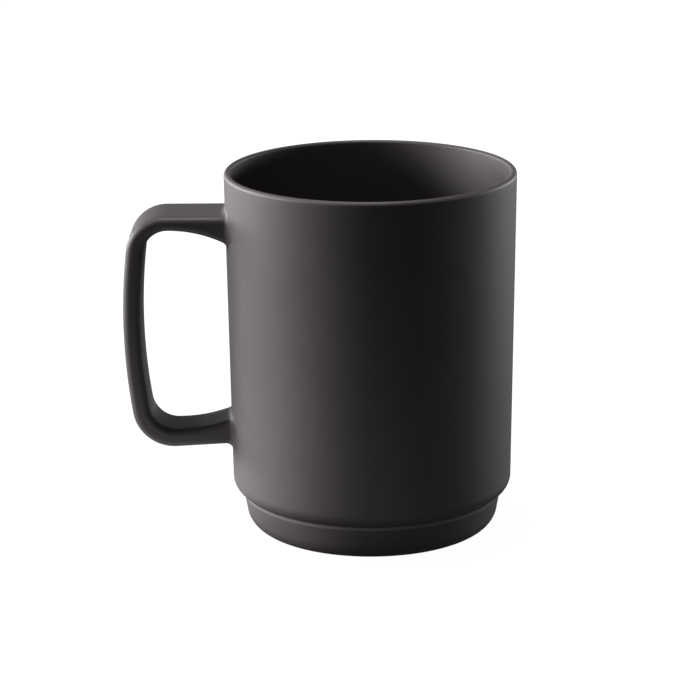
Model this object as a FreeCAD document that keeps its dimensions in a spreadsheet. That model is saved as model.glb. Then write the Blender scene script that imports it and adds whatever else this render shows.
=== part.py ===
"""Stackable stoneware mug with a strap handle.

Frame: the origin is on the cup's axis at the base plane, +Z is up and the handle points to -X.
All sizes are millimetres, and those in the sheet are of the finished, glazed surface. The clay
lies one glaze thickness under it. The pieces are the thrown cup, the cast handle, the two beads
of slip that lute the handle on, the liner glaze inside and the dipped glaze outside.
"""
import FreeCAD, Part
import math
import os
import Sketcher

SIZES = {
    # cup, outside
    "height": 107.3,
    "rim_radius": 42.5,
    "wall_base_radius": 41.25,
    "shoulder_radius": 4.4,
    "ledge_height": 11.0,
    "foot_contact_radius": 31.3,
    "foot_edge_radius": 6.0,
    "foot_lean": 10.0,
    "ring_inner_radius": 28.6,
    "recess_radius": 26.5,
    "recess_depth": 2.2,
    # lip, from the outside over the crest to the inside
    "lip_shoulder_radius": 1.2,
    "lip_crest_radius": 0.7,
    "lip_inner_radius": 0.9,
    "crest_circle_radius": 41.55,
    # cavity
    "cavity_base_radius": 37.8,
    "cavity_corner_radius": 13.0,
    "cavity_floor": 6.5,
    # handle, side outline
    "handle_top": 95.6,
    "handle_reach": 72.3,
    "bow_height": 63.0,
    "bow_radius": 181.0,
    "upper_corner_radius": 11.3,
    "lower_corner_radius": 12.2,
    "handle_under": 25.45,
    "under_slope": 3.2,
    "upper_arm": 4.2,
    "grip": 5.0,
    "lower_arm": 5.5,
    "gap_bow_radius": 162.0,
    "gap_upper_radius": 7.1,
    "gap_lower_radius": 7.9,
    "upper_flare_radius": 37.0,
    "lower_flare_radius": 44.0,
    "root_depth": 39.9,
    # handle, cross-section: the strap is wider at the rim's level than at the base plane's
    "half_width_at_rim": 10.6,
    "half_width_at_base": 7.1,
    "handle_edge_radius": 2.0,
    # slip beads at the two roots: how far they stand out round the strap on three planes across it
    "bead_tip_growth": 0.1,
    "bead_mid_growth": 0.35,
    "bead_base_growth": 2.2,
    # how far those planes are from the cup's axis, and the strap's lowest and highest levels there
    "upper_bead_tip": 43.6,
    "upper_bead_mid": 42.4,
    "upper_bead_base": 40.1,
    "upper_root_half_width": 10.2,
    "upper_tip_low": 88.25,
    "upper_mid_low": 87.7,
    "upper_base_low": 86.45,
    "lower_bead_tip": 42.7,
    "lower_bead_mid": 41.5,
    "lower_bead_base": 39.2,
    "lower_root_half_width": 8.05,
    "lower_root_low": 26.35,
    "lower_tip_high": 33.45,
    "lower_mid_high": 33.9,
    "lower_base_high": 34.85,
    # glaze
    "glaze": 0.3,
    "bare_foot_height": 0.5,
    # a surface inside the clay wall that parts the liner glaze from the outer one
    "parting_low": 5.0,
    "parting_low_radius": 33.0,
    "parting_high": 20.0,
    "parting_high_radius": 39.9,
}

BEAD_LEVELS = {
    "upper": {"tip": ("upper_tip_low", "handle_top"),
              "mid": ("upper_mid_low", "handle_top"),
              "base": ("upper_base_low", "handle_top")},
    "lower": {"tip": ("lower_root_low", "lower_tip_high"),
              "mid": ("lower_root_low", "lower_mid_high"),
              "base": ("lower_root_low", "lower_base_high")},
}

doc = FreeCAD.newDocument("mug")


def make_sheet():
    """The driving dimensions: a name in column A and its value, with an alias, in column B."""
    sheet = doc.addObject("Spreadsheet::Sheet", "dims")
    for row, (name, value) in enumerate(SIZES.items(), start=1):
        sheet.set("A%d" % row, name)
        sheet.set("B%d" % row, str(value))
        sheet.setAlias("B%d" % row, name)
    doc.recompute()
    return sheet


def cells(expression):
    """An expression over the sheet's aliases, as FreeCAD's expression engine reads it."""
    words = expression.split()
    return " ".join("dims." + word if word in SIZES else word for word in words)


def value(expression):
    """The same sum's value, for a dimension's first value."""
    words = expression.split()
    total = 0.0
    for sign, word in zip(["+"] + words[1::2], words[0::2]):
        term = float(SIZES.get(word, word))
        total += term if sign == "+" else -term
    return total


def origin_plane(body, role):
    """One of a body's own origin planes."""
    return next(item for item in body.Origin.OriginFeatures if item.Role == role)


class Outline:
    """A sketch that is drawn as one closed chain of lines and arcs."""

    def __init__(self, body, name, role="XZ_Plane", offset=0.0):
        self.sketch = body.newObject("Sketcher::SketchObject", name)
        self.sketch.AttachmentSupport = [(origin_plane(body, role), "")]
        self.sketch.MapMode = "FlatFace"
        self.sketch.AttachmentOffset = FreeCAD.Placement(
            FreeCAD.Vector(0, 0, offset), FreeCAD.Rotation())
        self.chain = []

    def line(self, start, end):
        shape = Part.LineSegment(FreeCAD.Vector(*start, 0), FreeCAD.Vector(*end, 0))
        return self.add(shape, 1, 2)

    def arc(self, centre, radius, first, last):
        """An arc from one angle to another, in degrees; it runs clockwise if last is the lower."""
        circle = Part.Circle(FreeCAD.Vector(*centre, 0), FreeCAD.Vector(0, 0, 1), radius)
        low, high = sorted((math.radians(first), math.radians(last)))
        ends = (1, 2) if last > first else (2, 1)
        return self.add(Part.ArcOfCircle(circle, low, high), *ends)

    def add(self, shape, start, end):
        index = self.sketch.addGeometry(shape, False)
        self.chain.append((index, start, end))
        return index

    def constrain(self, *words):
        return self.sketch.addConstraint(Sketcher.Constraint(*words))

    def size(self, expression, *words):
        """A dimension that follows the sheet."""
        index = self.constrain(*words, value(expression))
        self.sketch.setExpression("Constraints[%d]" % index, cells(expression))

    def angle(self, expression, *words):
        index = self.constrain(*words, math.radians(value(expression)))
        self.sketch.setExpression("Constraints[%d]" % index, "(%s) * 1 deg" % cells(expression))

    def join(self, corners):
        """Close the chain: sharp where it starts a piece named in corners, tangent elsewhere."""
        for before, after in zip([self.chain[-1]] + self.chain[:-1], self.chain):
            kind = "Coincident" if after[0] in corners else "Tangent"
            self.constrain(kind, before[0], before[2], after[0], after[1])


def rim_arc_angle(sheet):
    """Where the lip's outer arc hands over to the crest's arc, in degrees above level."""
    run = sheet.crest_circle_radius - sheet.rim_radius + sheet.lip_shoulder_radius
    return math.degrees(math.acos(run / (sheet.lip_shoulder_radius - sheet.lip_crest_radius)))


def cup_outline(body, sheet, skin):
    """Half section of the cup. skin is how far it lies inside the finished surface."""
    minus = " - glaze" if skin else ""
    plus = " + glaze" if skin else ""
    depth = sheet.glaze if skin else 0.0
    outline = Outline(body, body.Name + "_section")
    lean = sheet.foot_lean
    lip = rim_arc_angle(sheet)
    foot_radius = sheet.foot_edge_radius - depth
    foot = (sheet.foot_contact_radius, foot_radius)
    shoulder = (sheet.wall_base_radius - sheet.shoulder_radius,
                sheet.ledge_height + sheet.shoulder_radius)
    crest_drop = (sheet.lip_shoulder_radius - sheet.lip_crest_radius) * math.sin(math.radians(lip))
    crest = (sheet.crest_circle_radius, sheet.height - sheet.lip_crest_radius)
    lip_centre = (sheet.rim_radius - sheet.lip_shoulder_radius, crest[1] - crest_drop)
    inner_lip = (crest[0], sheet.height - sheet.lip_inner_radius)
    corner = (sheet.cavity_base_radius - sheet.cavity_corner_radius,
              sheet.cavity_floor + sheet.cavity_corner_radius)
    corner_radius = sheet.cavity_corner_radius + depth
    floor = sheet.cavity_floor - depth

    def at(centre, radius, degrees):
        turn = math.radians(degrees)
        return (centre[0] + radius * math.cos(turn), centre[1] + radius * math.sin(turn))

    foot_wall_start = at(foot, foot_radius, -lean)
    run_up = sheet.ledge_height - foot_wall_start[1]
    foot_wall_end = (foot_wall_start[0] + run_up * math.tan(math.radians(lean)), sheet.ledge_height)
    reach = math.degrees(math.acos((foot_wall_end[0] - shoulder[0]) / sheet.shoulder_radius))
    shoulder_radius = sheet.shoulder_radius - depth
    lip_radius = sheet.lip_shoulder_radius - depth
    crest_radius = sheet.lip_crest_radius - depth
    inner_radius = sheet.lip_inner_radius - depth

    ring = outline.line((sheet.ring_inner_radius, 0), (foot[0], 0))
    foot_edge = outline.arc(foot, foot_radius, -90, -lean)
    foot_wall = outline.line(foot_wall_start, foot_wall_end)
    ledge = outline.arc(shoulder, shoulder_radius, -reach, 0)
    wall = outline.line(at(shoulder, shoulder_radius, 0), at(lip_centre, lip_radius, 0))
    lip_arc = outline.arc(lip_centre, lip_radius, 0, lip)
    crest_arc = outline.arc(crest, crest_radius, lip, 90)
    inner_arc = outline.arc(inner_lip, inner_radius, 90, 180)
    cavity = outline.line(at(inner_lip, inner_radius, 180), at(corner, corner_radius, 0))
    bowl = outline.arc(corner, corner_radius, 0, -90)
    bottom = outline.line((corner[0], floor), (0, floor))
    axis = outline.line((0, floor), (0, sheet.recess_depth))
    recess = outline.line((0, sheet.recess_depth), (sheet.recess_radius, sheet.recess_depth))
    bevel = outline.line((sheet.recess_radius, sheet.recess_depth), (sheet.ring_inner_radius, 0))
    outline.join(corners=(ring, ledge, axis, recess, bevel))

    for level in (ring, bottom, recess):
        outline.constrain("Horizontal", level)
    outline.constrain("PointOnObject", ring, 1, -1)
    outline.constrain("PointOnObject", axis, 1, -2)
    outline.constrain("Vertical", axis)
    outline.constrain("Vertical", crest_arc, 3, inner_arc, 3)
    outline.size("ring_inner_radius", "DistanceX", -1, 1, ring, 1)
    outline.size("foot_contact_radius", "DistanceX", -1, 1, foot_edge, 3)
    outline.size("foot_edge_radius" + minus, "Radius", foot_edge)
    outline.angle("90 - foot_lean", "Angle", -1, 1, foot_wall, 1)
    outline.size("wall_base_radius - shoulder_radius", "DistanceX", -1, 1, ledge, 3)
    outline.size("ledge_height + shoulder_radius", "DistanceY", -1, 1, ledge, 3)
    outline.size("shoulder_radius" + minus, "Radius", ledge)
    outline.size("rim_radius - lip_shoulder_radius", "DistanceX", -1, 1, lip_arc, 3)
    outline.size("lip_shoulder_radius" + minus, "Radius", lip_arc)
    outline.size("lip_crest_radius" + minus, "Radius", crest_arc)
    outline.size("crest_circle_radius", "DistanceX", -1, 1, crest_arc, 3)
    outline.size("height - lip_crest_radius", "DistanceY", -1, 1, crest_arc, 3)
    outline.size("lip_inner_radius" + minus, "Radius", inner_arc)
    outline.size("cavity_base_radius - cavity_corner_radius", "DistanceX", -1, 1, bowl, 3)
    outline.size("cavity_floor + cavity_corner_radius", "DistanceY", -1, 1, bowl, 3)
    outline.size("cavity_corner_radius" + plus, "Radius", bowl)
    outline.size("recess_radius", "DistanceX", -1, 1, bevel, 1)
    outline.size("recess_depth", "DistanceY", -1, 1, bevel, 1)
    return outline.sketch


def make_cup(name, sheet, skin):
    """The cup as one revolution about its axis."""
    body = doc.addObject("PartDesign::Body", name)
    sketch = cup_outline(body, sheet, skin)
    doc.recompute()
    turned = body.newObject("PartDesign::Revolution", name + "_turned")
    turned.Profile = sketch
    turned.ReferenceAxis = (sketch, ["V_Axis"])
    turned.Angle = 360
    doc.recompute()
    return body


def handle_outline(body, sheet, skin):
    """Side view of the handle, a C that is open towards the cup. skin is as for the cup."""
    depth = sheet.glaze if skin else 0.0
    less = " - glaze" if skin else ""
    more = " + glaze" if skin else ""
    outline = Outline(body, body.Name + "_side")
    wall = -sheet.root_depth
    top = sheet.handle_top - depth
    gap_top = sheet.handle_top - sheet.upper_arm + depth
    gap_bottom = sheet.handle_under + sheet.lower_arm - depth
    bow = (sheet.bow_radius - sheet.handle_reach, sheet.bow_height)
    bow_radius = sheet.bow_radius - depth
    gap_bow = (sheet.gap_bow_radius - sheet.handle_reach + sheet.grip, sheet.bow_height)
    gap_radius = sheet.gap_bow_radius + depth

    def corner(centre, radius, small, level):
        """Centre of a corner arc inside a bow, at a level, and where it touches the bow."""
        rise = level - centre[1]
        run = math.sqrt((radius - small) ** 2 - rise ** 2)
        return (centre[0] - run, level), 180 - math.degrees(math.atan2(rise, run))

    def flare_end(centre, radius):
        """Where a flare's arc meets the plane that the roots end on, in degrees."""
        return math.degrees(math.acos((wall - centre[0]) / radius))

    upper = sheet.upper_corner_radius - depth
    lower = sheet.lower_corner_radius - depth
    gap_upper = sheet.gap_upper_radius + depth
    gap_lower = sheet.gap_lower_radius + depth
    upper_flare = sheet.upper_flare_radius + depth
    lower_flare = sheet.lower_flare_radius + depth
    upper_centre, upper_touch = corner(bow, bow_radius, upper, top - upper)
    lower_centre, lower_touch = corner(
        bow, bow_radius, lower, sheet.handle_under + sheet.lower_corner_radius)
    inner_upper, inner_upper_touch = corner(gap_bow, gap_radius, gap_upper, gap_top - gap_upper)
    inner_lower, inner_lower_touch = corner(gap_bow, gap_radius, gap_lower, gap_bottom + gap_lower)
    upper_flare_centre = (inner_upper[0], gap_top - upper_flare)
    lower_flare_centre = (inner_lower[0], gap_bottom + lower_flare)
    slope = math.radians(sheet.under_slope)
    under_start = (lower_centre[0] + lower * math.sin(slope),
                   lower_centre[1] - lower * math.cos(slope))
    under_end = (wall, under_start[1] + (wall - under_start[0]) * math.tan(slope))
    upper_end = flare_end(upper_flare_centre, upper_flare)
    lower_end = -flare_end(lower_flare_centre, lower_flare)
    upper_root = upper_flare_centre[1] + upper_flare * math.sin(math.radians(upper_end))
    lower_root = lower_flare_centre[1] + lower_flare * math.sin(math.radians(lower_end))

    top_line = outline.line((wall, top), (upper_centre[0], top))
    upper_arc = outline.arc(upper_centre, upper, 90, upper_touch)
    bow_arc = outline.arc(bow, bow_radius, upper_touch, lower_touch)
    lower_arc = outline.arc(lower_centre, lower, lower_touch, 270 + sheet.under_slope)
    under = outline.line(under_start, under_end)
    lower_cut = outline.line(under_end, (wall, lower_root))
    lower_curve = outline.arc(lower_flare_centre, lower_flare, lower_end, -90)
    gap_lower_arc = outline.arc(inner_lower, gap_lower, 270, inner_lower_touch)
    gap_arc = outline.arc(gap_bow, gap_radius, inner_lower_touch, inner_upper_touch)
    gap_upper_arc = outline.arc(inner_upper, gap_upper, inner_upper_touch, 90)
    upper_curve = outline.arc(upper_flare_centre, upper_flare, 90, upper_end)
    upper_cut = outline.line((wall, upper_root), (wall, top))
    outline.join(corners=(top_line, lower_cut, lower_curve, upper_cut))

    outline.constrain("Horizontal", top_line)
    for cut in (lower_cut, upper_cut):
        outline.constrain("Vertical", cut)
        outline.size("root_depth", "DistanceX", cut, 1, -1, 1)
    for pair in ((gap_lower_arc, lower_curve), (gap_upper_arc, upper_curve)):
        outline.constrain("Vertical", pair[0], 3, pair[1], 3)
    outline.angle("under_slope", "Angle", -1, 1, under, 1)
    outline.size("handle_top" + less, "DistanceY", -1, 1, top_line, 1)
    outline.size("handle_under + lower_corner_radius", "DistanceY", -1, 1, lower_arc, 3)
    outline.size("bow_radius - handle_reach", "DistanceX", -1, 1, bow_arc, 3)
    outline.size("bow_height", "DistanceY", -1, 1, bow_arc, 3)
    outline.size("gap_bow_radius - handle_reach + grip", "DistanceX", -1, 1, gap_arc, 3)
    outline.size("bow_height", "DistanceY", -1, 1, gap_arc, 3)
    outline.size("handle_top - upper_arm - gap_upper_radius", "DistanceY", -1, 1, gap_upper_arc, 3)
    outline.size("handle_under + lower_arm + gap_lower_radius", "DistanceY", -1, 1, gap_lower_arc, 3)
    for arc, radius in ((upper_arc, "upper_corner_radius" + less),
                        (bow_arc, "bow_radius" + less),
                        (lower_arc, "lower_corner_radius" + less),
                        (lower_curve, "lower_flare_radius" + more),
                        (gap_lower_arc, "gap_lower_radius" + more),
                        (gap_arc, "gap_bow_radius" + more),
                        (gap_upper_arc, "gap_upper_radius" + more),
                        (upper_curve, "upper_flare_radius" + more)):
        outline.size(radius, "Radius", arc)
    return outline.sketch


def taper_outline(body, sheet, skin):
    """Front view of what the taper takes off, a four-sided region on each side of the strap."""
    less = " - glaze" if skin else ""
    outline = Outline(body, body.Name + "_taper", role="YZ_Plane")
    narrow = value("half_width_at_base" + less)
    broad = value("half_width_at_rim" + less)
    clear = value("half_width_at_rim + glaze")
    for side in (1, -1):
        outline.chain = []
        foot = outline.line((side * narrow, 0), (side * clear, 0))
        outer = outline.line((side * clear, 0), (side * clear, sheet.height))
        top = outline.line((side * clear, sheet.height), (side * broad, sheet.height))
        inner = outline.line((side * broad, sheet.height), (side * narrow, 0))
        outline.join(corners=(foot, outer, top, inner))
        outline.constrain("Horizontal", foot)
        outline.constrain("Horizontal", top)
        outline.constrain("Vertical", outer)
        outline.constrain("PointOnObject", foot, 1, -1)
        outline.size("height", "DistanceY", -1, 1, top, 1)
        for width, line, end in (("half_width_at_base" + less, foot, 1),
                                 ("half_width_at_rim + glaze", foot, 2),
                                 ("half_width_at_rim" + less, top, 2)):
            points = (-1, 1, line, end) if side > 0 else (line, end, -1, 1)
            outline.size(width, "DistanceX", *points)
    return outline.sketch


def make_handle(name, sheet, skin):
    """The strap: a pad of its side view, tapered in the front view, its long edges rounded."""
    less = " - glaze" if skin else ""
    body = doc.addObject("PartDesign::Body", name)
    side_view = handle_outline(body, sheet, skin)
    doc.recompute()
    strap = body.newObject("PartDesign::Pad", name + "_strap")
    strap.Profile = side_view
    strap.SideType = "Symmetric"
    strap.setExpression("Length", "2 * (%s)" % cells("half_width_at_rim" + less))
    front_view = taper_outline(body, sheet, skin)
    doc.recompute()
    tapered = body.newObject("PartDesign::Pocket", name + "_tapered")
    tapered.Profile = front_view
    tapered.Type = "ThroughAll"
    tapered.SideType = "Symmetric"
    doc.recompute()
    base = value("half_width_at_base" + less)
    slope = (value("half_width_at_rim" + less) - base) / sheet.height

    def is_long_edge(edge):
        """True on the strap's two sides, away from the ends that go into the cup's wall."""
        middle = edge.valueAt((edge.FirstParameter + edge.LastParameter) / 2)
        points = [vertex.Point for vertex in edge.Vertexes] + [middle]
        on_side = all(abs(abs(point.y) - base - slope * point.z) < 1e-5 for point in points)
        return on_side and edge.BoundBox.XMin < -sheet.root_depth - 1e-6

    edges = ["Edge%d" % (index + 1) for index, edge in enumerate(tapered.Shape.Edges)
             if is_long_edge(edge)]
    rounded = body.newObject("PartDesign::Fillet", name + "_rounded")
    rounded.Base = (tapered, edges)
    rounded.setExpression("Radius", cells("handle_edge_radius" + less))
    doc.recompute()
    return body


def bead_section(body, sheet, place, spot, skin):
    """A rounded rectangle across the handle's root, larger all round than the strap.

    place is upper or lower, and spot is tip, mid or base.
    """
    grow = "bead_%s_growth" % spot
    out = " + " + grow + (" - glaze" if skin else "")
    less = " - " + grow + (" + glaze" if skin else "")
    reach = "%s_bead_%s" % (place, spot) + (" - glaze" if skin else "")
    low, high = BEAD_LEVELS[place][spot]
    wide = "%s_root_half_width" % place
    outline = Outline(body, body.Name + "_" + spot, role="YZ_Plane", offset=-value(reach))
    outline.sketch.setExpression("AttachmentOffset.Base.z", "-(%s)" % cells(reach))
    half = value(wide + out)
    radius = value("handle_edge_radius" + out)
    bottom = value(low + less)
    top = value(high + out)

    low_line = outline.line((-half + radius, bottom), (half - radius, bottom))
    corners = [outline.arc((half - radius, bottom + radius), radius, -90, 0)]
    right = outline.line((half, bottom + radius), (half, top - radius))
    corners.append(outline.arc((half - radius, top - radius), radius, 0, 90))
    high_line = outline.line((half - radius, top), (-half + radius, top))
    corners.append(outline.arc((-half + radius, top - radius), radius, 90, 180))
    left = outline.line((-half, top - radius), (-half, bottom + radius))
    corners.append(outline.arc((-half + radius, bottom + radius), radius, 180, 270))
    outline.join(corners=())

    for level in (low_line, high_line):
        outline.constrain("Horizontal", level)
    for upright in (left, right):
        outline.constrain("Vertical", upright)
    for arc in corners:
        outline.size("handle_edge_radius" + out, "Radius", arc)
    outline.size(wide + out, "DistanceX", -1, 1, right, 1)
    outline.size(wide + out, "DistanceX", left, 1, -1, 1)
    outline.size(low + less, "DistanceY", -1, 1, low_line, 1)
    outline.size(high + out, "DistanceY", -1, 1, high_line, 1)
    return outline.sketch


def make_bead(name, sheet, place, skin):
    """A collar that flares from the strap's section into the cup's wall, upper or lower."""
    body = doc.addObject("PartDesign::Body", name)
    sections = [bead_section(body, sheet, place, spot, skin) for spot in ("tip", "mid", "base")]
    doc.recompute()
    collar = body.newObject("PartDesign::AdditiveLoft", name + "_collar")
    collar.Profile = sections[0]
    collar.Sections = sections[1:]
    doc.recompute()
    return body


def combine(kind, label, base, tool):
    """A boolean of two objects: Cut or Common."""
    result = doc.addObject("Part::" + kind, label)
    result.Base = base
    result.Tool = tool
    return result


def fuse(label, shapes):
    """A union of several objects."""
    result = doc.addObject("Part::MultiFuse", label)
    result.Shapes = shapes
    return result


def make_parting():
    """The solid inside the parting surface: two cones, up the floor's corner and up the wall."""
    low = doc.addObject("Part::Cone", "parting_low_cone")
    low.setExpression("Radius1", "dims.parting_low_radius")
    low.setExpression("Radius2", "dims.parting_high_radius")
    low.setExpression("Height", "dims.parting_high - dims.parting_low")
    low.setExpression("Placement.Base.z", "dims.parting_low")
    high = doc.addObject("Part::Cone", "parting_high_cone")
    high.setExpression("Radius1", "dims.parting_high_radius")
    high.setExpression("Radius2", "dims.crest_circle_radius")
    high.setExpression("Height", "dims.height - dims.parting_high + dims.glaze")
    high.setExpression("Placement.Base.z", "dims.parting_high")
    return fuse("parting", [low, high])


def make_wax():
    """The band at the foot that is wiped clean of glaze."""
    wax = doc.addObject("Part::Cylinder", "wax")
    wax.setExpression("Radius", "dims.rim_radius")
    wax.setExpression("Height", "dims.bare_foot_height + 1")
    wax.Placement.Base.z = -1
    return wax


def failed_objects():
    """Names of the objects that did not compute."""
    return [item.Name for item in doc.Objects
            if "Invalid" in item.State or "Error" in item.State]


def export(parts):
    """Check each sub-part and write it to parts/LABEL.step."""
    os.makedirs("parts", exist_ok=True)
    for part in parts:
        shape = part.Shape
        if shape.isNull() or not shape.isValid():
            raise ValueError("%s has no valid shape" % part.Label)
        if len(shape.Solids) != 1:
            raise ValueError("%s has %d solids" % (part.Label, len(shape.Solids)))
        shape.exportStep("parts/%s.step" % part.Label)
        print("%-18s %9.1f mm3" % (part.Label, shape.Volume))


def main():
    sheet = make_sheet()
    cup_body = make_cup("cup_body", sheet, skin=True)
    glazed_cup = make_cup("glazed_cup", sheet, skin=False)
    strap = make_handle("strap", sheet, skin=True)
    glazed_strap = make_handle("glazed_strap", sheet, skin=False)
    upper_collar = make_bead("upper_collar", sheet, "upper", skin=True)
    lower_collar = make_bead("lower_collar", sheet, "lower", skin=True)
    glazed_upper = make_bead("glazed_upper_collar", sheet, "upper", skin=False)
    glazed_lower = make_bead("glazed_lower_collar", sheet, "lower", skin=False)

    parting = make_parting()
    filled_cup = fuse("filled_cup", [cup_body, parting])
    handle = combine("Cut", "handle", strap, filled_cup)
    cup_and_strap = fuse("cup_and_strap", [filled_cup, strap])
    upper_bead = combine("Cut", "upper_slip_bead", upper_collar, cup_and_strap)
    lower_bead = combine("Cut", "lower_slip_bead", lower_collar, cup_and_strap)

    clay = fuse("clay", [cup_body, strap, upper_collar, lower_collar])
    finished = fuse("finished", [glazed_cup, glazed_strap, glazed_upper, glazed_lower])
    unglazed = fuse("unglazed", [clay, parting, make_wax()])
    outer_glaze = combine("Cut", "outer_glaze", finished, unglazed)
    inside = combine("Common", "inside", glazed_cup, parting)
    liner_glaze = combine("Cut", "liner_glaze", inside, cup_body)
    doc.recompute()
    if failed_objects():
        raise ValueError("not computed: " + ", ".join(failed_objects()))
    export([cup_body, handle, upper_bead, lower_bead, outer_glaze, liner_glaze])


main()
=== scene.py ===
"""Looks of the stoneware mug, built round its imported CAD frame.

All places are in metres in the CAD frame: Z is the cup's axis, z = 0 the plane it stands on, and
the handle points to -X. The finished surface is two skins of glaze over the clay: one lines the
cup, and the other covers its outside, the handle and the fillets at the handle's roots.
"""
import math
from collections import namedtuple

import bpy
from mathutils import Matrix, Vector


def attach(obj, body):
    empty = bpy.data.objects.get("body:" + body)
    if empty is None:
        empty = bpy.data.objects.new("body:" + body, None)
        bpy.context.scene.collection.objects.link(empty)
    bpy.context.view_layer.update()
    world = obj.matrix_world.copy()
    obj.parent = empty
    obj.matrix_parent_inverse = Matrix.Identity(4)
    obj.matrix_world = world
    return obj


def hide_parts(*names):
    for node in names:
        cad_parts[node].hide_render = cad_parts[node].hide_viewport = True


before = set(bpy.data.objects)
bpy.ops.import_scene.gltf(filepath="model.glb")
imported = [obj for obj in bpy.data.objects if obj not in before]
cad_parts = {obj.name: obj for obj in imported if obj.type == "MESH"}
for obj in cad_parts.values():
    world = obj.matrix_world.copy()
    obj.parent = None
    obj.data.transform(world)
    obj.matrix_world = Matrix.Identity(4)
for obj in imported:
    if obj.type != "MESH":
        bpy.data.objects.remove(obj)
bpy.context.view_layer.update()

MM = 0.001
QUARTER = math.pi / 2

# Cup, finished surface
HEIGHT = 107.3 * MM
RIM_RADIUS = 42.5 * MM
WALL_BASE_RADIUS = 41.25 * MM
SHOULDER_RADIUS = 4.4 * MM
LEDGE_HEIGHT = 11.0 * MM
LEDGE_CREASE = 0.7 * MM
LEDGE_EDGE = 0.5 * MM
CREASE_END = math.pi * 0.62
FOOT_CONTACT_RADIUS = 31.3 * MM
FOOT_EDGE_RADIUS = 6.0 * MM
FOOT_LEAN = math.radians(10.0)
LIP_SHOULDER_RADIUS = 1.2 * MM
LIP_CREST_RADIUS = 0.7 * MM
LIP_INNER_RADIUS = 0.9 * MM
CREST_CIRCLE_RADIUS = 41.55 * MM
CAVITY_BASE_RADIUS = 37.8 * MM
CAVITY_CORNER_RADIUS = 13.0 * MM
CAVITY_FLOOR = 6.5 * MM
GLAZE = 0.3 * MM
BARE_FOOT_HEIGHT = 0.5 * MM

# Handle, finished surface
HANDLE_TOP = 95.6 * MM
HANDLE_REACH = 72.3 * MM
BOW_HEIGHT = 63.0 * MM
BOW_RADIUS = 181.0 * MM
UPPER_CORNER_RADIUS = 11.3 * MM
LOWER_CORNER_RADIUS = 12.2 * MM
HANDLE_UNDER = 25.45 * MM
UNDER_SLOPE = math.radians(3.2)
UPPER_ARM = 4.2 * MM
GRIP = 5.0 * MM
LOWER_ARM = 5.5 * MM
GAP_BOW_RADIUS = 162.0 * MM
GAP_UPPER_RADIUS = 7.1 * MM
GAP_LOWER_RADIUS = 7.9 * MM
UPPER_FLARE_RADIUS = 37.0 * MM
LOWER_FLARE_RADIUS = 44.0 * MM
HALF_WIDTH_AT_RIM = 10.6 * MM
HALF_WIDTH_AT_BASE = 7.1 * MM
HANDLE_EDGE_RADIUS = 2.0 * MM
ROOT_FILLET = 1.5 * MM
LOWER_ROOT_FILLET = 2.3 * MM
ROOT_DEPTH = 1.0 * MM
ROOT_OVERLAP = 0.006 * MM

# Painted highlights: paler bands painted on the outer glaze at the foot's upper edge and the lip's
# shoulder, as their lowest and highest levels and the painted tone, and the height they fade over
LEDGE_PAINTED_HIGHLIGHT = (10.0 * MM, 10.7 * MM, (0.125, 0.108, 0.114))
LIP_PAINTED_HIGHLIGHT = (106.4 * MM, 107.0 * MM, (0.085, 0.072, 0.077))
PAINTED_HIGHLIGHT_FADE = 0.25 * MM

# Camera: its place, its angles in radians, and its lens and sensor in millimetres
CAMERA_PLACE = (0, -0.81707, 0.28783)
CAMERA_YAW = -0.0077
CAMERA_PITCH = 0.27992
CAMERA_ROLL = -0.00795
CAMERA_LENS = 148.27
CAMERA_SENSOR = 36

# Studio: each light has a name, a place, the point it faces, a width, a height and a radiance
FLOOR_SIZE = 8.0
WORLD_RADIANCE = 0.05
AIM = (0, 0, 0.05)
LIGHTS = (
    ("left_softbox", (-1.6, 0.17, 0.38), AIM, 0.6, 0.7, 35.0),
    ("left_front_softbox", (-1.5, -0.5, 0.3), AIM, 0.3, 0.5, 5.0),
    ("left_rear_softbox", (-1.23, 1.03, 0.15), AIM, 0.5, 0.3, 28.0),
    ("right_softbox", (1.5, 0.4, 0.13), AIM, 0.6, 0.2, 11.0),
    ("right_rear_softbox", (1.2, 1.05, 0.13), AIM, 0.5, 0.2, 31.0),
    ("high_softbox", (-0.055, 0.0, 1.4), (-0.055, 0, 0.05), 0.12, 0.12, 260.0),
    ("rear_softbox", (0.0, 1.7, 0.6), AIM, 2.4, 1.0, 0.3),
    ("front_card", (-0.03, -0.115, 0.012), (-0.03, 0, 0.012), 0.18, 0.02, 0.3),
    ("table_glow_front", (-0.05, -0.1, 0.0005), (-0.05, -0.1, 1), 0.16, 0.1, 0.2),
    ("table_glow", (-0.1, -0.03, 0.0005), (-0.1, -0.03, 1), 0.11, 0.12, 0.9),
)

# Fineness of the meshes
TURN_STEPS = 256
ARC_STEP = math.radians(5.0)
FILLET_RINGS = 10
ARM_RINGS = 14
CORNER_RINGS = 18
BOW_RINGS = 30
EDGE_STEPS = 8
FACE_STEPS = 8
ON_AXIS = 1e-6 * MM
FOOT_STEPS = 6
WALL_STEPS = 40
FLOOR_STEPS = 12
ROOT_PASSES = 4
SHARP_ANGLE = math.radians(50)


def arc(centre, radius, first, last):
    """Points along an arc in a plane, from one angle to another in radians, both ends included."""
    steps = max(2, math.ceil(abs(last - first) / ARC_STEP))
    angles = [first + (last - first) * step / steps for step in range(steps + 1)]
    return [(centre[0] + radius * math.cos(a), centre[1] + radius * math.sin(a)) for a in angles]


def line(start, end, steps):
    """Points between two ends, neither included."""
    shares = [step / steps for step in range(1, steps)]
    return [(start[0] + (end[0] - start[0]) * t, start[1] + (end[1] - start[1]) * t)
            for t in shares]


def lip_handover():
    """The angle at which the lip's outer arc hands over to its crest."""
    run = CREST_CIRCLE_RADIUS - RIM_RADIUS + LIP_SHOULDER_RADIUS
    return math.acos(run / (LIP_SHOULDER_RADIUS - LIP_CREST_RADIUS))


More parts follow.
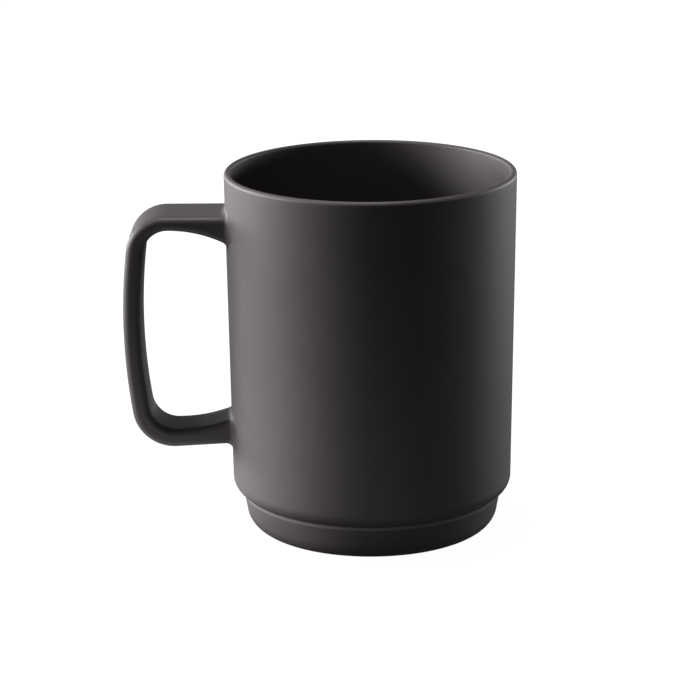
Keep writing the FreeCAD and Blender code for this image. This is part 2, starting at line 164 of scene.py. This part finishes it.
def lip_centre():
    """Centre of the lip's outer arc, in the half plane (radius, height)."""
    drop = (LIP_SHOULDER_RADIUS - LIP_CREST_RADIUS) * math.sin(lip_handover())
    return (RIM_RADIUS - LIP_SHOULDER_RADIUS, HEIGHT - LIP_CREST_RADIUS - drop)


SHOULDER_CENTRE = (WALL_BASE_RADIUS - SHOULDER_RADIUS, LEDGE_HEIGHT + SHOULDER_RADIUS)
WALL_TOP = lip_centre()[1]


def wall_radius(height):
    """The cup's outside radius on its straight wall."""
    share = (height - SHOULDER_CENTRE[1]) / (WALL_TOP - SHOULDER_CENTRE[1])
    return WALL_BASE_RADIUS + (RIM_RADIUS - WALL_BASE_RADIUS) * share


def outside_profile(depth):
    """The cup's outside from the wiped foot to the lip's crest, at a depth under the surface."""
    foot_radius = FOOT_EDGE_RADIUS - depth
    foot = (FOOT_CONTACT_RADIUS, FOOT_EDGE_RADIUS - depth)
    start = math.asin((BARE_FOOT_HEIGHT - foot[1]) / foot_radius)
    points = arc(foot, foot_radius, start, -FOOT_LEAN)
    foot_top = points[-1]
    rise = LEDGE_HEIGHT - LEDGE_CREASE / 2 - foot_top[1]
    crease = (foot_top[0] + rise * math.tan(FOOT_LEAN), foot_top[1] + rise)
    points += line(foot_top, crease, FOOT_STEPS)
    shoulder = SHOULDER_RADIUS - depth
    reach = math.acos((crease[0] + LEDGE_EDGE - SHOULDER_CENTRE[0]) / shoulder)
    points += arc((crease[0] + LEDGE_CREASE, crease[1]), LEDGE_CREASE, math.pi, CREASE_END)
    points += arc(SHOULDER_CENTRE, shoulder, -reach, 0)
    centre = lip_centre()
    lip = LIP_SHOULDER_RADIUS - depth
    points += line(points[-1], (centre[0] + lip, centre[1]), WALL_STEPS)
    points += arc(centre, lip, 0, lip_handover())
    crest = (CREST_CIRCLE_RADIUS, HEIGHT - LIP_CREST_RADIUS)
    return points + arc(crest, LIP_CREST_RADIUS - depth, lip_handover(), QUARTER)[1:]


def inside_profile(depth):
    """The cup's inside from the lip's crest to the middle of the floor, at a depth under it."""
    lip = (CREST_CIRCLE_RADIUS, HEIGHT - LIP_INNER_RADIUS)
    points = arc(lip, LIP_INNER_RADIUS - depth, QUARTER, math.pi)
    corner = (CAVITY_BASE_RADIUS - CAVITY_CORNER_RADIUS, CAVITY_FLOOR + CAVITY_CORNER_RADIUS)
    radius = CAVITY_CORNER_RADIUS + depth
    points += line(points[-1], (corner[0] + radius, corner[1]), WALL_STEPS)
    points += arc(corner, radius, 0, -QUARTER)
    middle = (0, CAVITY_FLOOR - depth)
    return points + line(points[-1], middle, FLOOR_STEPS) + [middle]


def turned(profile):
    """Vertices and faces of a closed loop turned about Z. A point on the axis is one vertex."""
    vertices, rings = [], []
    for radius, height in profile:
        if radius < ON_AXIS:
            rings.append([len(vertices)] * TURN_STEPS)
            vertices.append((0, 0, height))
            continue
        rings.append(list(range(len(vertices), len(vertices) + TURN_STEPS)))
        turns = [2 * math.pi * step / TURN_STEPS for step in range(TURN_STEPS)]
        vertices += [(radius * math.cos(a), radius * math.sin(a), height) for a in turns]
    faces = []
    for low, high in zip(rings, rings[1:] + rings[:1]):
        if low[0] == low[1] and high[0] == high[1]:
            continue
        for step in range(TURN_STEPS):
            after = (step + 1) % TURN_STEPS
            corners = (low[step], low[after], high[after], high[step])
            faces.append(tuple(dict.fromkeys(corners)))
    return vertices, faces


def corner_on_bow(centre, radius, small, level):
    """Centre of a corner arc that rolls inside a bow at a level, and the angle where they touch."""
    rise = level - centre[1]
    run = math.sqrt((radius - small) ** 2 - rise ** 2)
    return (centre[0] - run, level), math.pi - math.atan2(rise, run)


def circle_at(centre, radius, side):
    """Height of a circle above a place along X: side is 1 for its top and -1 for its bottom."""
    return lambda x: centre[1] + side * math.sqrt(radius ** 2 - (x - centre[0]) ** 2)


BOW = (BOW_RADIUS - HANDLE_REACH, BOW_HEIGHT)
GAP_BOW = (GAP_BOW_RADIUS - HANDLE_REACH + GRIP, BOW_HEIGHT)
GAP_TOP = HANDLE_TOP - UPPER_ARM
GAP_BOTTOM = HANDLE_UNDER + LOWER_ARM
UPPER, UPPER_TOUCH = corner_on_bow(
    BOW, BOW_RADIUS, UPPER_CORNER_RADIUS, HANDLE_TOP - UPPER_CORNER_RADIUS)
LOWER, LOWER_TOUCH = corner_on_bow(
    BOW, BOW_RADIUS, LOWER_CORNER_RADIUS, HANDLE_UNDER + LOWER_CORNER_RADIUS)
GAP_UPPER, GAP_UPPER_TOUCH = corner_on_bow(
    GAP_BOW, GAP_BOW_RADIUS, GAP_UPPER_RADIUS, GAP_TOP - GAP_UPPER_RADIUS)
GAP_LOWER, GAP_LOWER_TOUCH = corner_on_bow(
    GAP_BOW, GAP_BOW_RADIUS, GAP_LOWER_RADIUS, GAP_BOTTOM + GAP_LOWER_RADIUS)


def under_line(x):
    """Height of the lower arm's underside, which climbs towards the cup."""
    touch = LOWER[0] + LOWER_CORNER_RADIUS * math.sin(UNDER_SLOPE)
    level = LOWER[1] - LOWER_CORNER_RADIUS * math.cos(UNDER_SLOPE)
    return level + (x - touch) * math.tan(UNDER_SLOPE)


# An arm of the handle: the heights of its gap side and outer side above a place along X, 1 or -1
# if its outer side faces up or down, and how much larger its root's fillet is underneath
Arm = namedtuple("Arm", "gap outer outer_up extra_under")
ARM_ABOVE = Arm(
    circle_at((GAP_UPPER[0], GAP_TOP - UPPER_FLARE_RADIUS), UPPER_FLARE_RADIUS, 1),
    lambda x: HANDLE_TOP, 1, 0.0)
ARM_BELOW = Arm(
    circle_at((GAP_LOWER[0], GAP_BOTTOM + LOWER_FLARE_RADIUS), LOWER_FLARE_RADIUS, -1),
    under_line, -1, LOWER_ROOT_FILLET - ROOT_FILLET)


def section():
    """The strap's rounded section: for each point the corner it belongs to and its normal.

    Both are pairs of unit moves, across the strap and along its width.
    """
    angles = [QUARTER * step / EDGE_STEPS for step in range(EDGE_STEPS + 1)]
    ring = []
    for across, wide, start in ((1, 1, 0), (-1, 1, 1), (-1, -1, 2), (1, -1, 3)):
        for angle in angles:
            turn = angle + start * QUARTER
            ring.append(((across, wide), (math.cos(turn), math.sin(turn))))
        turn = (start + 1) * QUARTER
        normal = (round(math.cos(turn)), round(math.sin(turn)))
        if normal[0]:
            for step in range(1, FACE_STEPS):
                share = 1 - 2 * step / FACE_STEPS
                ring.append(((across, wide * share), normal))
    return ring


SECTION = section()


def strap_point(inner, outer, corner, normal):
    """A point of the strap between a point of its gap outline and one of its outer outline."""
    middle = ((inner[0] + outer[0]) / 2, (inner[1] + outer[1]) / 2)
    half = math.dist(inner, outer) / 2
    across = ((outer[0] - inner[0]) / (2 * half), (outer[1] - inner[1]) / (2 * half))
    flat = half - HANDLE_EDGE_RADIUS
    step = corner[0] * flat + normal[0] * HANDLE_EDGE_RADIUS
    height = middle[1] + across[1] * step
    taper = (HALF_WIDTH_AT_RIM - HALF_WIDTH_AT_BASE) * height / HEIGHT
    edge = HALF_WIDTH_AT_BASE + taper - HANDLE_EDGE_RADIUS
    width = corner[1] * edge + normal[1] * HANDLE_EDGE_RADIUS
    return Vector((middle[0] + across[0] * step, width, height))


def root_point(arm, corner, normal, turn, clearance):
    """A point of the fillet between an arm and the wall, at an angle round the fillet.

    turn is 0 on the arm and a quarter turn on the wall. clearance moves the wall's end along X.
    """
    rise = normal[0] * arm.outer_up
    radius = ROOT_FILLET + arm.extra_under * max(0.0, -rise)
    grow = radius * (1 - math.cos(turn))
    away = radius * (1 - math.sin(turn)) + clearance
    x = -wall_radius(BOW_HEIGHT)
    for _ in range(ROOT_PASSES):
        point = strap_point((x, arm.gap(x)), (x, arm.outer(x)), corner, normal)
        point.y += normal[1] * grow
        point.z += rise * grow
        x = -math.sqrt(wall_radius(point.z) ** 2 - point.y ** 2) - away
    point.x = x
    return point


def root_rings(arm):
    """Rings from just inside the wall out over the fillet to the plain arm."""
    turns = [QUARTER * (1 - step / FILLET_RINGS) for step in range(FILLET_RINGS + 1)]
    rings = [[root_point(arm, corner, normal, QUARTER, -ROOT_DEPTH) for corner, normal in SECTION]]
    for turn in turns:
        sink = -ROOT_OVERLAP * math.sin(turn)
        rings.append([root_point(arm, corner, normal, turn, sink) for corner, normal in SECTION])
    return rings


def arm_rings(root, arm, inner_end, outer_end):
    """Rings along an arm from its root's last ring to where its corner starts."""
    rings = []
    for step in range(1, ARM_RINGS + 1):
        share = step / ARM_RINGS
        ring = []
        for start, (corner, normal) in zip(root, SECTION):
            inner_x = start.x + (inner_end - start.x) * share
            outer_x = start.x + (outer_end - start.x) * share
            ring.append(strap_point((inner_x, arm.gap(inner_x)), (outer_x, arm.outer(outer_x)),
                                    corner, normal))
        rings.append(ring)
    return rings


def swept(inner, outer):
    """Rings between matching points of the gap outline and the outer outline."""
    return [[strap_point(a, b, corner, normal) for corner, normal in SECTION]
            for a, b in zip(inner, outer)]


def even_arc(centre, radius, first, last, steps):
    """Points along an arc in equal steps, without its first point."""
    angles = [first + (last - first) * step / steps for step in range(1, steps + 1)]
    return [(centre[0] + radius * math.cos(a), centre[1] + radius * math.sin(a)) for a in angles]


def handle_mesh():
    """Vertices and faces of the handle's skin, a tube whose closed ends lie inside the wall."""
    upper_root = root_rings(ARM_ABOVE)
    lower_root = root_rings(ARM_BELOW)
    rings = upper_root + arm_rings(upper_root[-1], ARM_ABOVE, GAP_UPPER[0], UPPER[0])
    rings += swept(
        even_arc(GAP_UPPER, GAP_UPPER_RADIUS, QUARTER, GAP_UPPER_TOUCH, CORNER_RINGS),
        even_arc(UPPER, UPPER_CORNER_RADIUS, QUARTER, UPPER_TOUCH, CORNER_RINGS))
    rings += swept(
        even_arc(GAP_BOW, GAP_BOW_RADIUS, GAP_UPPER_TOUCH, GAP_LOWER_TOUCH, BOW_RINGS),
        even_arc(BOW, BOW_RADIUS, UPPER_TOUCH, LOWER_TOUCH, BOW_RINGS))
    rings += swept(
        even_arc(GAP_LOWER, GAP_LOWER_RADIUS, GAP_LOWER_TOUCH, 3 * QUARTER, CORNER_RINGS),
        even_arc(LOWER, LOWER_CORNER_RADIUS, LOWER_TOUCH, 3 * QUARTER + UNDER_SLOPE, CORNER_RINGS))
    lower_arm = arm_rings(lower_root[-1], ARM_BELOW, GAP_LOWER[0],
                          LOWER[0] + LOWER_CORNER_RADIUS * math.sin(UNDER_SLOPE))
    rings += lower_arm[-2::-1] + lower_root[::-1]
    vertices = [point for ring in rings for point in ring]
    count = len(SECTION)
    faces = []
    for number in range(len(rings) - 1):
        base = number * count
        for step in range(count):
            after = (step + 1) % count
            faces.append((base + step, base + count + step, base + count + after, base + after))
    faces.append(tuple(range(count)))
    last = (len(rings) - 1) * count
    faces.append(tuple(range(last + count - 1, last - 1, -1)))
    return vertices, faces


def make_piece(name, parts, material, replaced):
    """One object from several shells, smooth but for its true edges, in place of CAD nodes."""
    vertices, faces = [], []
    for part_vertices, part_faces in parts:
        base = len(vertices)
        vertices += part_vertices
        faces += [tuple(index + base for index in face) for face in part_faces]
    mesh = bpy.data.meshes.new(name)
    mesh.from_pydata(vertices, [], faces)
    mesh.validate()
    mesh.shade_smooth()
    mesh.set_sharp_from_angle(angle=SHARP_ANGLE)
    mesh.materials.append(material)
    piece = bpy.data.objects.new(name, mesh)
    bpy.context.scene.collection.objects.link(piece)
    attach(piece, "root")
    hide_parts(*replaced)


def new_material(name):
    """A material with nodes, and its tree and shader."""
    material = bpy.data.materials.new(name)
    material.use_nodes = True
    tree = material.node_tree
    return material, tree, tree.nodes["Principled BSDF"]


def noise(tree, coordinates, scale, detail, roughness=0.5):
    """A noise texture in object space, its scale in waves to the metre."""
    node = tree.nodes.new("ShaderNodeTexNoise")
    node.inputs["Scale"].default_value = scale
    node.inputs["Detail"].default_value = detail
    node.inputs["Roughness"].default_value = roughness
    tree.links.new(coordinates, node.inputs["Vector"])
    return node.outputs["Fac"]


def ramp(tree, factor, stops):
    """A colour ramp from (place, colour) stops."""
    node = tree.nodes.new("ShaderNodeValToRGB")
    elements = node.color_ramp.elements
    while len(elements) < len(stops):
        elements.new(0.5)
    for element, (place, colour) in zip(elements, stops):
        element.position = place
        element.color = (*colour, 1)
    tree.links.new(factor, node.inputs["Fac"])
    return node.outputs["Color"]


def spread(tree, factor, low, high, start=0.0, end=1.0):
    """A value moved linearly from the range start to end into the range low to high."""
    node = tree.nodes.new("ShaderNodeMapRange")
    tree.links.new(factor, node.inputs["Value"])
    for name, value in (("From Min", start), ("From Max", end), ("To Min", low), ("To Max", high)):
        node.inputs[name].default_value = value
    return node.outputs["Result"]


def bump(tree, height, distance, strength, under=None):
    """A normal from a height, on top of another normal if one is given."""
    node = tree.nodes.new("ShaderNodeBump")
    node.inputs["Distance"].default_value = distance
    node.inputs["Strength"].default_value = strength
    tree.links.new(height, node.inputs["Height"])
    if under:
        tree.links.new(under, node.inputs["Normal"])
    return node.outputs["Normal"]


def tinted(tree, factor, colour, tint):
    """A colour mixed with a plain tint, by a factor."""
    node = tree.nodes.new("ShaderNodeMix")
    node.data_type = "RGBA"
    sockets = [socket for socket in node.inputs if socket.enabled]
    tree.links.new(factor, sockets[0])
    tree.links.new(colour, sockets[1])
    sockets[2].default_value = (*tint, 1)
    return next(socket for socket in node.outputs if socket.enabled)


def height_band(tree, coordinates, low, high, fade):
    """A factor that is 1 between two heights and fades to 0 outside them."""
    split = tree.nodes.new("ShaderNodeSeparateXYZ")
    tree.links.new(coordinates, split.inputs["Vector"])
    node = tree.nodes.new("ShaderNodeMath")
    node.operation = "MULTIPLY"
    tree.links.new(spread(tree, split.outputs["Z"], 0, 1, low - fade, low), node.inputs[0])
    tree.links.new(spread(tree, split.outputs["Z"], 1, 0, high, high + fade), node.inputs[1])
    return node.outputs["Value"]


def glaze_material(name, painted_highlights=()):
    """Matte charcoal glaze: a faint mottle, fine pits, and paler painted highlights in bands of
    height.

    The bands of painted highlight are given as their lowest and highest levels and their tone.
    """
    material, tree, shader = new_material(name)
    place = tree.nodes.new("ShaderNodeTexCoord").outputs["Object"]
    clouds = noise(tree, place, 55, 4)
    grain = noise(tree, place, 900, 3, 0.6)
    colour = ramp(tree, clouds, [(0.3, (0.0580, 0.0480, 0.0520)), (0.7, (0.0640, 0.0530, 0.0575))])
    flecks = spread(tree, grain, 0, 1, 0.62, 0.72)
    colour = tinted(tree, flecks, colour, (0.072, 0.060, 0.064))
    # Painted highlights: each band is a paler tone painted between two heights, for light caught on
    # an edge.
    for low, high, tone in painted_highlights:
        band = height_band(tree, place, low, high, PAINTED_HIGHLIGHT_FADE)
        colour = tinted(tree, band, colour, tone)
    tree.links.new(colour, shader.inputs["Base Color"])
    tree.links.new(spread(tree, clouds, 0.53, 0.59, 0.3, 0.7), shader.inputs["Roughness"])
    shader.inputs["IOR"].default_value = 1.5
    ripple = bump(tree, noise(tree, place, 160, 2), 0.05 * MM, 0.5)
    pits = bump(tree, grain, 0.02 * MM, 0.5, ripple)
    tree.links.new(pits, shader.inputs["Normal"])
    return material


def clay_material(name):
    """Bare fired stoneware: grey-brown, rough, with dark iron specks."""
    material, tree, shader = new_material(name)
    place = tree.nodes.new("ShaderNodeTexCoord").outputs["Object"]
    body = noise(tree, place, 120, 5)
    colour = ramp(tree, body, [(0.3, (0.15, 0.125, 0.105)), (0.7, (0.23, 0.195, 0.165))])
    specks = spread(tree, noise(tree, place, 1500, 2), 0, 1, 0.66, 0.72)
    colour = tinted(tree, specks, colour, (0.05, 0.035, 0.028))
    tree.links.new(colour, shader.inputs["Base Color"])
    shader.inputs["Roughness"].default_value = 0.85
    tree.links.new(bump(tree, noise(tree, place, 1100, 5, 0.65), 0.12 * MM, 0.6),
                   shader.inputs["Normal"])
    return material


def floor_material():
    """Seamless studio paper, nearly white, with a trace of tooth."""
    material, tree, shader = new_material("studio_paper")
    place = tree.nodes.new("ShaderNodeTexCoord").outputs["Object"]
    tone = noise(tree, place, 3, 2)
    tree.links.new(ramp(tree, tone, [(0.3, (0.08, 0.08, 0.08)), (0.7, (0.09, 0.09, 0.09))]),
                   shader.inputs["Base Color"])
    shader.inputs["Emission Color"].default_value = (1, 1, 1, 1)
    shader.inputs["Emission Strength"].default_value = 0.97
    shader.inputs["Roughness"].default_value = 0.9
    return material


def softbox(name, place, target, width, height, radiance):
    """A rectangular light of a given radiance that faces a target."""
    data = bpy.data.lights.new(name, "AREA")
    data.shape = "RECTANGLE"
    data.size = width
    data.size_y = height
    data.energy = radiance * math.pi * width * height
    light = bpy.data.objects.new(name, data)
    light.location = place
    aim = Vector(target) - Vector(place)
    light.rotation_euler = aim.to_track_quat("-Z", "Y").to_euler()
    bpy.context.scene.collection.objects.link(light)
    light.visible_camera = False


def make_camera():
    """A long lens a little above the rim, level but for a slight tilt."""
    level = math.cos(CAMERA_PITCH)
    ahead = Vector((math.sin(CAMERA_YAW) * level, math.cos(CAMERA_YAW) * level,
                    -math.sin(CAMERA_PITCH)))
    right = ahead.cross(Vector((0, 0, 1))).normalized()
    above = right.cross(ahead)
    across = math.cos(CAMERA_ROLL) * right + math.sin(CAMERA_ROLL) * above
    upward = math.cos(CAMERA_ROLL) * above - math.sin(CAMERA_ROLL) * right
    data = bpy.data.cameras.new("camera")
    data.lens = CAMERA_LENS
    data.sensor_width = CAMERA_SENSOR
    camera = bpy.data.objects.new("camera", data)
    turn = Matrix((across, upward, -ahead)).transposed().to_4x4()
    camera.matrix_world = Matrix.Translation(CAMERA_PLACE) @ turn
    bpy.context.scene.collection.objects.link(camera)
    bpy.context.scene.camera = camera


def make_floor():
    """The paper the mug stands on. It lights nothing: the cards near the mug stand in for that."""
    half = FLOOR_SIZE / 2
    mesh = bpy.data.meshes.new("floor")
    mesh.from_pydata([(-half, -half, 0), (half, -half, 0), (half, half, 0), (-half, half, 0)],
                     [], [(0, 1, 2, 3)])
    mesh.materials.append(floor_material())
    floor = bpy.data.objects.new("floor", mesh)
    bpy.context.scene.collection.objects.link(floor)
    floor.visible_glossy = False
    floor.visible_diffuse = False


def make_world():
    """An even dim surround."""
    world = bpy.data.worlds.new("studio")
    world.use_nodes = True
    background = world.node_tree.nodes["Background"]
    background.inputs["Color"].default_value = (1, 1, 1, 1)
    background.inputs["Strength"].default_value = WORLD_RADIANCE
    bpy.context.scene.world = world


make_camera()
make_floor()
make_world()
for light in LIGHTS:
    softbox(*light)
bpy.context.scene.view_settings.view_transform = "Standard"

# The outside glaze carries the painted highlights at the foot's upper edge and the lip's shoulder.
outside_glaze = glaze_material("charcoal_glaze_outside", (LEDGE_PAINTED_HIGHLIGHT, LIP_PAINTED_HIGHLIGHT))
inside_glaze = glaze_material("charcoal_glaze_inside")
stoneware = clay_material("bare_stoneware")
for name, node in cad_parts.items():
    finish = {"outer_glaze": outside_glaze, "liner_glaze": inside_glaze}.get(name, stoneware)
    for slot in node.material_slots:
        slot.material = finish

outer_skin = turned(outside_profile(0) + outside_profile(GLAZE)[::-1])
inner_skin = turned(inside_profile(0) + inside_profile(GLAZE)[::-1])
make_piece("glaze_outside", [outer_skin, handle_mesh()], outside_glaze,
           ("outer_glaze", "upper_slip_bead", "lower_slip_bead"))
make_piece("glaze_inside", [inner_skin], inside_glaze, ("liner_glaze",))
